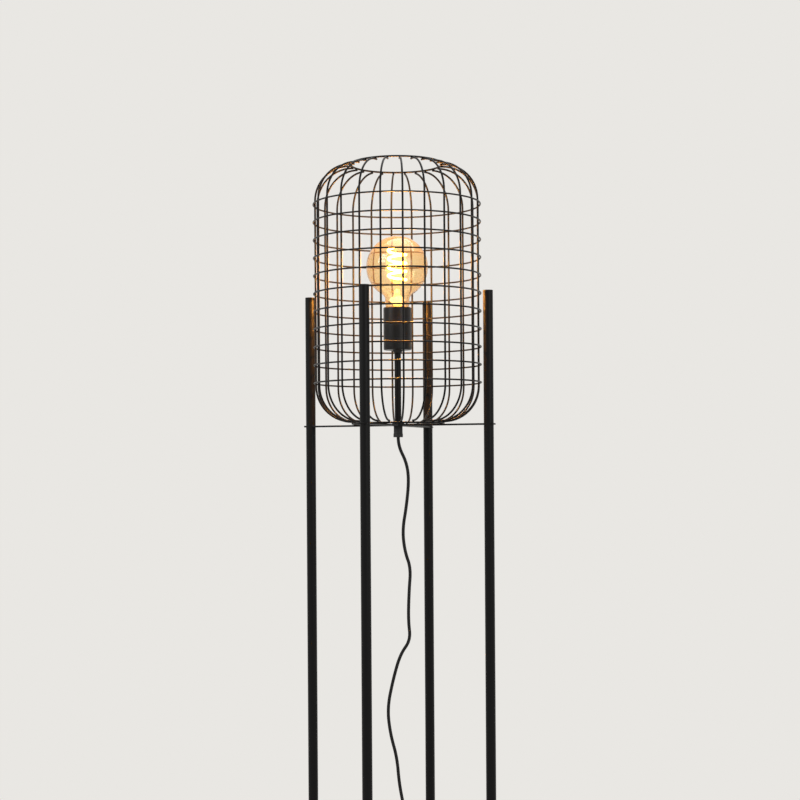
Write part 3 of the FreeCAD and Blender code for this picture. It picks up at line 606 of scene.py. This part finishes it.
# So bright that it is seen as blown out yellow white, a little deeper at its edges.
glow, shader = finish("glowing phosphor coating", {
    "Base Color": linear("#ffc94d"),
    "Emission Color": linear("#ffcf66"),
    "Emission Strength": 40.0,
})
grain(glow, shader, 1.0 * mm, 0.05 * mm, 0.4, 0.6)
shape = bmesh.new()
start = Matrix.Translation((filament_radius, 0, filament_low)) @ Matrix.Rotation(math.pi / 2, 4, "X")
bmesh.ops.create_circle(shape, segments=wire_sides, radius=filament_wire, matrix=start)
swing(shape, shape.edges[:], (0, 0, 0), (0, 0, 1), math.tau * filament_turns, filament_steps,
      (0, 0, (filament_high - filament_low) / filament_steps))
close_ends(shape)
spiral = piece("filament_spiral", shape, glow, "filament_yellow", "bulb", "filament")
spiral.visible_shadow = False
lead_radius = 0.5 * mm
lead_offset = 2.0 * mm
# Thin bright metal threads, with a painted yellow glow that stands in for the light beside them.
lead_metal, shader = finish("bright nickel lead wire", {
    "Base Color": linear("#cdbb8e"),
    "Metallic": 1.0,
    # Painted glow: a weak emission in place of the filament's light on the wires.
    "Emission Color": linear("#ffb840"),
    "Emission Strength": 0.35,
})
grain(lead_metal, shader, 0.5 * mm, 0.004 * mm, 0.2, 0.34)
lead_bend = 1.5 * mm
lead_end = filament_radius - filament_wire
upper_aim = -math.atan2(lead_end, lead_offset)
lead_routes = ((lead_offset, filament_low, lead_end - lead_offset, 0),
               (-lead_offset, filament_high, math.hypot(lead_end, lead_offset), upper_aim))


def take_in(shape, part):
    """Adds one more part of a piece to its shape."""
    mesh = bpy.data.meshes.new("part")
    part.to_mesh(mesh)
    part.free()
    shape.from_mesh(mesh)
    bpy.data.meshes.remove(mesh)


shape = bmesh.new()
for offset, height, reach, aim in lead_routes:
    lead = bmesh.new()
    start = Matrix.Translation((0, 0, mount_high))
    bmesh.ops.create_circle(lead, segments=8, radius=lead_radius, matrix=start)
    edges = carry_on(lead, lead.edges[:], (0, 0, height - lead_bend - mount_high))
    edges = swing(lead, edges, (lead_bend, 0, height - lead_bend), (0, 1, 0), math.pi / 2, 6)
    carry_on(lead, edges, (reach - lead_bend, 0, 0))
    close_ends(lead)
    bmesh.ops.rotate(lead, verts=lead.verts, cent=(0, 0, 0), matrix=Matrix.Rotation(aim, 3, "Z"))
    bmesh.ops.translate(lead, verts=lead.verts, vec=(offset, 0, 0))
    take_in(shape, lead)
leads = piece("filament_lead_wires", shape, lead_metal, "lead_wire", "bulb", "filament_leads")
leads.visible_shadow = False


# Cord grip. A moulded black nylon gland under the cross: a plain body screwed on the stem's end,
# and a slightly wider nut below that clamps the cord.
grip_low = 1080.5 * mm
grip_seam = 1086.0 * mm
grip_nut_radius = 7.3 * mm
grip_body_radius = 6.8 * mm
cord_radius = 2.5 * mm
thread_end = upper_cross_low - 9 * mm
grip = turned([
    (cord_radius, grip_low), (grip_nut_radius, grip_low), (grip_nut_radius, grip_seam),
    (grip_body_radius, grip_seam + 0.3 * mm), (grip_body_radius, upper_cross_low),
    (stem_hole, upper_cross_low), (stem_hole, thread_end), (cord_radius, thread_end),
], 48)
piece("cord_gland", soften(grip, 0.5 * mm), foot_plastic, "black_plastic", "stand", "cord_grip")


# Cord. Round black PVC cord, 5 mm thick and soft, that hangs from the gland in loose waves from being
# coiled in its box, passes the lower cross and runs over the floor to the foot switch.
# Soft matt black with a broad weak sheen, and a skin that is never quite smooth.
cord_jacket, shader = finish("matt black soft PVC", {
    "Base Color": linear("#0b0b0c"),
    "Specular IOR Level": 0.2,
    "IOR": 1.52,
})
grain(cord_jacket, shader, 0.9 * mm, 0.03 * mm, 0.46, 0.6)
dress("stem_lead", cord_jacket)
view_turn = math.radians(19.4)
hanging = [
    (0.0, 0.0, 1080.5), (0.0, 0.0, 1067.0), (12.5, -1.0, 1042.0), (16.0, -2.0, 1015.0), (12.0, 1.0, 975.0),
    (5.5, 3.0, 938.0), (9.0, 3.0, 905.0), (18.0, 1.0, 880.0), (15.0, -3.0, 845.0), (13.5, -5.0, 800.0),
    (17.0, -4.0, 770.0), (1.0, 0.0, 748.0), (-10.0, 3.0, 710.0), (-19.5, 4.0, 665.0), (-15.0, 2.0, 625.0),
    (-5.0, -2.0, 590.0), (-2.0, -5.0, 550.0), (6.0, -8.0, 510.0), (12.0, -10.0, 460.0), (10.0, -12.0, 405.0),
    (4.0, -14.0, 350.0), (3.0, -18.0, 295.0), (8.0, -23.0, 240.0), (15.5, -26.5, 190.0), (20.0, -33.0, 140.0),
    (26.0, -40.0, 95.0),
]
on_floor = [
    (40.0, -36.0, 55.0), (47.0, -42.0, 22.0), (66.0, -47.0, 2.5), (96.0, -44.0, 2.5), (117.0, -22.0, 2.5),
    (125.0, 12.0, 2.5), (124.0, 44.0, 2.5), (117.0, 66.0, 2.5), (104.0, 77.0, 2.5), (86.0, 80.0, 3.5),
    (72.0, 80.0, 6.0), (60.0, 80.0, 6.0),
]


def round_cord(name, route):
    """A cord along a smooth line that the route's points, in millimetres, control."""
    curve = bpy.data.curves.new(name, "CURVE")
    curve.dimensions = "3D"
    curve.bevel_depth = cord_radius
    curve.bevel_resolution = 4
    curve.use_fill_caps = True
    curve.resolution_u = 8
    spline = curve.splines.new("NURBS")
    spline.points.add(len(route) - 1)
    for point, (x, y, z) in zip(spline.points, route):
        point.co = (x * mm, y * mm, z * mm, 1.0)
    spline.order_u = 3
    spline.use_endpoint_u = True
    curve.materials.append(cord_jacket)
    cord = bpy.data.objects.new(name, curve)
    bpy.context.collection.objects.link(cord)
    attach(cord, "stand")
    return cord


turned_route = [Matrix.Rotation(view_turn, 3, "Z") @ Vector(point) for point in hanging]
drop = round_cord("cord_hanging", turned_route + on_floor)
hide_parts("cord_drop")


# Foot switch. Two moulded ABS shells with round ends, screwed together, the lower one flat on the floor.
# A round pedal button stands 4 mm out of the upper shell and clicks down 3 mm on its spring.
switch_middle = Vector((2.0, 80.0, 0.0)) * mm
switch_length = 76.0 * mm
switch_radius = 18.0 * mm
switch_wall = 2.0 * mm
switch_seam = 9.0 * mm
switch_high = 23.0 * mm
switch_edge = 3.0 * mm
end_steps = 48
button_hole = 11.3 * mm
foot_edge = 0.8 * mm
seam_inset = 0.4 * mm
seam_bevel = 0.3 * mm
# Dark grey with a fine spark eroded grain about 0.7 mm wide, and soft light on the rounded edges.
switch_plastic, shader = finish("black moulded ABS", {
    "Base Color": linear("#161617"),
    "Specular IOR Level": 0.45,
    "IOR": 1.53,
})
grain(switch_plastic, shader, 0.7 * mm, 0.03 * mm, 0.4, 0.56)


def oval_line(shape, radius, height):
    """A level line with round ends about the switch's middle."""
    start = Matrix.Translation((0, 0, height)) @ Matrix.Rotation(math.pi / end_steps, 4, "Z")
    points = bmesh.ops.create_circle(shape, segments=end_steps, radius=radius, matrix=start)["verts"]
    straight = switch_length / 2 - switch_radius
    for side in (-1, 1):
        half = [point for point in points if point.co.x * side > 0]
        bmesh.ops.translate(shape, verts=half, vec=(side * straight, 0, 0))
    return list({edge for point in points for edge in point.link_edges})


def to_switch(shape):
    """Moves a piece made on the axis to the switch, with its faces outwards."""
    bmesh.ops.recalc_face_normals(shape, faces=shape.faces)
    bmesh.ops.translate(shape, verts=shape.verts, vec=switch_middle)
    return shape


shape = bmesh.new()
rows = [oval_line(shape, switch_radius - foot_edge, 0), oval_line(shape, switch_radius, foot_edge),
        oval_line(shape, switch_radius, switch_seam - seam_bevel),
        oval_line(shape, switch_radius - seam_inset, switch_seam),
        oval_line(shape, switch_radius - switch_wall, switch_seam),
        oval_line(shape, switch_radius - switch_wall, switch_wall)]
for lower, upper in zip(rows, rows[1:]):
    bmesh.ops.bridge_loops(shape, edges=lower + upper)
bmesh.ops.contextual_create(shape, geom=rows[0])
bmesh.ops.contextual_create(shape, geom=rows[-1])
piece("switch_lower_shell", to_switch(shape), switch_plastic, "switch_plastic", "stand", "switch_base")

shape = bmesh.new()
rows = [oval_line(shape, switch_radius - seam_inset, switch_seam),
        oval_line(shape, switch_radius, switch_seam + seam_bevel)]
edge_steps = 4
for step in range(edge_steps + 1):
    lean = math.radians(90 * step / edge_steps)
    rows.append(oval_line(shape, switch_radius - switch_edge * (1 - math.cos(lean)),
                          switch_high - switch_edge * (1 - math.sin(lean))))
hole_turn = Matrix.Translation((0, 0, switch_high)) @ Matrix.Rotation(math.pi / end_steps, 4, "Z")
for depth in (0.0, switch_wall):
    place = Matrix.Translation((0, 0, -depth)) @ hole_turn
    points = bmesh.ops.create_circle(shape, segments=end_steps, radius=button_hole, matrix=place)["verts"]
    rows.append(list({edge for point in points for edge in point.link_edges}))
rows.append(oval_line(shape, switch_radius - switch_wall - switch_edge / 2, switch_high - switch_wall))
rows.append(oval_line(shape, switch_radius - switch_wall, switch_high - switch_wall - switch_edge / 2))
rows.append(oval_line(shape, switch_radius - switch_wall, switch_seam))
for lower, upper in zip(rows, rows[1:]):
    bmesh.ops.bridge_loops(shape, edges=lower + upper)
bmesh.ops.bridge_loops(shape, edges=rows[-1] + rows[0])
piece("switch_upper_shell", to_switch(shape), switch_plastic, "switch_plastic", "stand", "switch_cover")
button_low = 18.7 * mm
flange_high = 20.7 * mm
flange_radius = 13.0 * mm
button_radius = 11.0 * mm
button_high = 27.0 * mm
button = turned([
    (0, button_low), (flange_radius, button_low), (flange_radius, flange_high), (button_radius, flange_high),
    (button_radius, button_high - 0.8 * mm), (10.2 * mm, button_high), (9.0 * mm, button_high),
    (6.0 * mm, 26.5 * mm), (0, 26.3 * mm),
])
soften(button, 0.3 * mm)
piece("switch_pedal", to_switch(button), switch_plastic, "switch_plastic", "button", "switch_button")
# Flat tan with a dry grain, as pressed from powder.
contact_resin, shader = finish("pale moulded phenolic", {
    "Base Color": linear("#b9a98a"),
    "Specular IOR Level": 0.4,
})
grain(contact_resin, shader, 1.0 * mm, 0.03 * mm, 0.5, 0.66)
dress("switch_contacts", contact_resin)
# Drawn grey metal with small sharp glints on each turn.
spring_steel, shader = finish("bright spring steel", {"Base Color": linear("#a9a9ab"), "Metallic": 1.0})
grain(spring_steel, shader, 0.6 * mm, 0.004 * mm, 0.2, 0.36)
contact_height = 7.0 * mm
spring_low = switch_wall + contact_height
spring_wire = 0.45 * mm
spring_radius = 4.5 * mm
spring_turns = 5
spring_steps = 24 * spring_turns
spring_height = button_low - spring_low
spring_climb = spring_height - 2.1 * spring_wire
shape = bmesh.new()
first_height = spring_low + spring_wire
start = Matrix.Translation((spring_radius, 0, first_height)) @ Matrix.Rotation(math.pi / 2, 4, "X")
bmesh.ops.create_circle(shape, segments=8, radius=spring_wire, matrix=start)
swing(shape, shape.edges[:], (0, 0, 0), (0, 0, 1), math.tau * spring_turns, spring_steps,
      (0, 0, spring_climb / spring_steps))
close_ends(shape)
to_switch(shape)
coiled = piece("switch_coil_spring", shape, spring_steel, "spring_steel", "stand", "switch_spring")
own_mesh(coiled)


# Strain reliefs. Soft PVC sleeves moulded on the cord, one at each end of the switch. They taper from 8 mm
# at the housing, and the rings cut into them let them bend.
relief_length = 20.0 * mm
relief_root_radius = 4.0 * mm
relief_tip_radius = 3.1 * mm
relief_rings = 6
ring_cut = 0.35 * mm
ring_profile = ((0.12, 0), (0.6, 0), (0.68, 1), (0.94, 1))
sleeve_mouth = 0.4
cord_height = 6.0 * mm


def ribbed_sleeve(length, root_radius, tip_radius, rings, inside):
    """A tapered sleeve along Z from its root at 0, with rings cut into it, round a hole."""
    outline = [(inside, 0.0), (root_radius, 0.0)]
    for ring in range(rings):
        for share, cut in ring_profile:
            along = (ring + share) / (rings + sleeve_mouth)
            radius = root_radius + (tip_radius - root_radius) * along
            outline.append((radius - cut * ring_cut, along * length))
    mouth = length * rings / (rings + sleeve_mouth) + 0.1 * mm
    outline += [(tip_radius, mouth), (tip_radius, length - 0.4 * mm),
                (tip_radius - 0.3 * mm, length), (inside, length)]
    return turned(outline, 32)


def lay_along_x(shape, root, heading):
    """Turns a piece that stands on Z to lie along X, and moves its root into place."""
    turn = Matrix.Rotation(heading * math.pi / 2, 3, "Y")
    bmesh.ops.rotate(shape, verts=shape.verts, cent=(0, 0, 0), matrix=turn)
    bmesh.ops.translate(shape, verts=shape.verts, vec=root)


shape = bmesh.new()
for side in (-1, 1):
    sleeve = ribbed_sleeve(relief_length, relief_root_radius, relief_tip_radius, relief_rings, cord_radius)
    lay_along_x(sleeve, switch_middle + Vector((side * switch_length / 2, 0, cord_height)), side)
    take_in(shape, sleeve)
piece("switch_strain_reliefs", shape, cord_jacket, "cord_jacket", "stand", "switch_reliefs")


# Spare cord. The rest of the lead is wound into a round coil beside the switch, six and a half turns in two
# layers, held by a soft black tie. It ends at the plug, which lies on the floor beside the coil.
coil_start = (-56.0, 80.0, 6.0)
coil_entry_x = -86.0
coil_low = 3.1
coil_step = 5.6
coil_outer = 36.75
coil_lead_in = 8
half_turns_in = 6
points_per_half_turn = 6
spread = 1 / 0.966
start_x, y, start_z = coil_start
route = [coil_start, (start_x - coil_lead_in, y, start_z), (coil_entry_x + coil_lead_in, y, 3.4)]
z = coil_low
radii = [coil_outer - coil_step / 2 * index for index in range(half_turns_in)]
radii = radii + [radii[-1] - coil_step / 2] + radii[::-1]
for index, radius in enumerate(radii):
    side = -1 if index % 2 == 0 else 1
    climb = coil_step if index == half_turns_in else 0.0
    middle = y + side * radius
    for step in range(points_per_half_turn):
        share = (step + 0.5) / points_per_half_turn
        swept = math.pi * share
        reach = radius * spread
        x = coil_entry_x + side * reach * math.sin(swept)
        route.append((x, middle - side * reach * math.cos(swept), z + climb * share))
    y += side * 2 * radius
    z += climb
route += [(coil_entry_x + coil_lead_in, y, z)] + [(x, y, 7.0) for x in (-66.0, -61.0, -56.0)]
coil = round_cord("cord_spare_coil", route)
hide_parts("cord_coil")
# Smooth black strap, a little glossier than the cord under it.
tie_plastic, shader = finish("soft black PVC tie", {
    "Base Color": linear("#101011"),
    "Specular IOR Level": 0.4,
})
grain(tie_plastic, shader, 0.8 * mm, 0.03 * mm, 0.42, 0.58)
tie_low = Vector((-126.8, 40.2, 0.0)) * mm
tie_size = Vector((24.8, 6.0, 11.8)) * mm
tie_thickness = 0.5 * mm
tie_corner = 3.0 * mm
shape = bmesh.new()
bmesh.ops.create_grid(shape, x_segments=1, y_segments=1, size=0.5)
bmesh.ops.rotate(shape, verts=shape.verts, cent=(0, 0, 0), matrix=Matrix.Rotation(math.pi / 2, 3, "X"))
inner_x = tie_size.x - 2 * tie_thickness
inner_z = tie_size.z - 2 * tie_thickness
bmesh.ops.scale(shape, verts=shape.verts, vec=(inner_x, 1, inner_z))
bmesh.ops.delete(shape, geom=shape.faces[:], context="FACES_ONLY")
grown = bmesh.ops.extrude_edge_only(shape, edges=shape.edges[:])["geom"]
bmesh.ops.translate(shape, verts=[item for item in grown if isinstance(item, bmesh.types.BMVert)],
                    vec=(0, tie_size.y, 0))
bmesh.ops.recalc_face_normals(shape, faces=shape.faces)
along = [edge for edge in shape.edges if abs(edge.verts[0].co.y - edge.verts[1].co.y) > tie_size.y / 2]
bmesh.ops.bevel(shape, geom=along, offset=tie_corner, segments=6, profile=0.5, affect="EDGES", material=-1)
bmesh.ops.solidify(shape, geom=shape.faces[:], thickness=-tie_thickness)
bmesh.ops.translate(shape, verts=shape.verts, vec=tie_low + Vector((tie_size.x / 2, 0, tie_size.z / 2)))
piece("cord_band", shape, tie_plastic, "tie_plastic", "stand", "cord_tie")


# Plug. A flat six sided two pin plug, moulded in one with its tapered boot. The pins are nickel plated
# brass with black plastic sleeves on their inner halves, and round tips.
boot_start = Vector((-56.0, 6.5, 7.0)) * mm
boot_length = 22.0 * mm
plug_length = 38.0 * mm
plug_thickness = 14.0 * mm
pin_radius = 2.0 * mm
pin_length = 19.0 * mm
pin_side = 9.3 * mm
pin_shoulder = 17.0 * mm
plug_corner = 3.0 * mm
boot = ribbed_sleeve(boot_length, 4.5 * mm, 3.2 * mm, 5, 2.4 * mm)
lay_along_x(boot, boot_start + Vector((boot_length, 0, 0)), -1)
piece("plug_tapered_boot", boot, cord_jacket, "cord_jacket", "stand", "plug_boot")
shape = bmesh.new()
half_widths = ((0, 7.5 * mm), (0.62 * plug_length, 17.5 * mm), (plug_length, 13.25 * mm))
outline = list(half_widths) + [(x, -y) for x, y in reversed(half_widths)]
plate = shape.faces.new([shape.verts.new((x, y, 0)) for x, y in outline])
grown = bmesh.ops.extrude_face_region(shape, geom=[plate])["geom"]
bmesh.ops.translate(shape, verts=[item for item in grown if isinstance(item, bmesh.types.BMVert)],
                    vec=(0, 0, plug_thickness))
bmesh.ops.recalc_face_normals(shape, faces=shape.faces)
upright = [edge for edge in shape.edges if abs(edge.verts[0].co.z - edge.verts[1].co.z) > mm]
bmesh.ops.bevel(shape, geom=upright, offset=plug_corner, segments=5, profile=0.5,
                affect="EDGES", material=-1)
soften(shape, 2.0 * mm, 4)
plug_back = boot_start + Vector((boot_length, 0, -plug_thickness / 2))
bmesh.ops.translate(shape, verts=shape.verts, vec=plug_back)
piece("plug_moulding", shape, switch_plastic, "black_plastic", "stand", "plug_body")
# Bright silver with faint rubbing marks from the socket.
nickel, shader = finish("nickel plated brass", {"Base Color": linear("#cfcac0"), "Metallic": 1.0})
grain(nickel, shader, 0.6 * mm, 0.003 * mm, 0.16, 0.3)
sleeve_length = 10.0 * mm
metal_start = sleeve_length - 0.5 * mm
metal_radius = pin_radius - 0.1 * mm
pin_outline = [(0, metal_start), (metal_radius, metal_start), (metal_radius, pin_shoulder),
               (1.5 * mm, 18.4 * mm), (0.8 * mm, pin_length), (0, pin_length)]
sleeve_outline = [(0, 0), (pin_radius, 0), (pin_radius, sleeve_length - 0.2 * mm),
                  (pin_radius - 0.2 * mm, sleeve_length), (0, sleeve_length)]


def both_pins(outline):
    """Two like turned pieces, side by side on the plug's front."""
    pins = bmesh.new()
    for side in (-1, 1):
        pin = turned(outline, 32)
        lay_along_x(pin, boot_start + Vector((boot_length + plug_length, side * pin_side, 0)), 1)
        take_in(pins, pin)
    return pins


piece("plug_round_pins", both_pins(pin_outline), nickel, "pin_nickel", "stand", "plug_pins")
piece("plug_pin_sleeves", both_pins(sleeve_outline), foot_plastic, "black_plastic", "stand", "plug_pins")


# Floor and light. A pale matt studio floor that fades into the background, large soft lights high at the
# front left, at the right and above, and the bulb's own warm light on the wires round it.
pale = linear("#e9e7e3")
floor_radius = 14.0
fade_start = 1.2
fade_end = 2.6
shape = bmesh.new()
bmesh.ops.create_circle(shape, segments=64, radius=floor_radius, cap_ends=True)
floor_mesh = bpy.data.meshes.new("floor")
shape.to_mesh(floor_mesh)
shape.free()
floor = bpy.data.objects.new("floor", floor_mesh)
bpy.context.collection.objects.link(floor)
# Warm off-white and matt. It takes the lamp's soft shadow near the feet and is an even tone further out.
paint, shader = finish("pale studio floor", {"Base Color": pale, "Roughness": 0.8, "Specular IOR Level": 0.2})
place = add(paint, "TexCoord").outputs["Object"]
distance = add(paint, "VectorMath", {"operation": "LENGTH"}, Vector=place).outputs["Value"]
fade_range = {"From Min": fade_start, "From Max": fade_end}
fade = add(paint, "MapRange", fade_range, Value=distance).outputs["Result"]
plain = add(paint, "Emission", {"Color": pale, "Strength": 1.0})
both = add(paint, "MixShader", Fac=fade)
paint.node_tree.links.new(shader.outputs["BSDF"], both.inputs[1])
paint.node_tree.links.new(plain.outputs["Emission"], both.inputs[2])
paint.node_tree.links.new(both.outputs["Shader"], paint.node_tree.nodes["Material Output"].inputs["Surface"])
floor_mesh.materials.append(paint)

world = bpy.data.worlds.new("studio")
bpy.context.scene.world = world
world.use_nodes = True
backdrop = world.node_tree.nodes["Background"]
backdrop.inputs["Color"].default_value = pale
seen = add(world, "LightPath")
direct = add(world, "Math", {"operation": "MAXIMUM"})
world.node_tree.links.new(seen.outputs["Is Camera Ray"], direct.inputs[0])
world.node_tree.links.new(seen.outputs["Is Glossy Ray"], direct.inputs[1])
any_seen = add(world, "Math", {"operation": "MAXIMUM"})
world.node_tree.links.new(direct.outputs["Value"], any_seen.inputs[0])
world.node_tree.links.new(seen.outputs["Is Transmission Ray"], any_seen.inputs[1])
level = add(world, "MapRange", {"To Min": 0.45, "To Max": 1.0}, Value=any_seen.outputs["Value"])
world.node_tree.links.new(level.outputs["Result"], backdrop.inputs["Strength"])


def soft_light(name, place, target, size, power):
    """A square white light of this size in metres, at a place and aimed at a target."""
    lamp = bpy.data.lights.new(name, "AREA")
    lamp.shape = "SQUARE"
    lamp.size = size
    lamp.energy = power
    holder = bpy.data.objects.new(name, lamp)
    holder.location = place
    holder.rotation_euler = (Vector(target) - Vector(place)).to_track_quat("-Z", "Y").to_euler()
    bpy.context.collection.objects.link(holder)


cage_foot = (0, 0, 1.1)
soft_light("key_light", (-1.9, -2.2, 2.7), cage_foot, 1.6, 45.0)
soft_light("fill_light", (2.4, -1.4, 1.9), cage_foot, 1.6, 16.0)
soft_light("top_light", (0.3, 0.4, 3.4), (0, 0, 0), 2.4, 50.0)
glow_lamp = bpy.data.lights.new("bulb_light", "POINT")
glow_lamp.energy = 20.0
glow_lamp.color = linear("#ffa440")[:3]
glow_lamp.shadow_soft_size = 0.02
bulb_light = bpy.data.objects.new("bulb_light", glow_lamp)
bulb_light.location = (0, 0, globe_height)
bulb_light.visible_transmission = False
bpy.context.collection.objects.link(bulb_light)
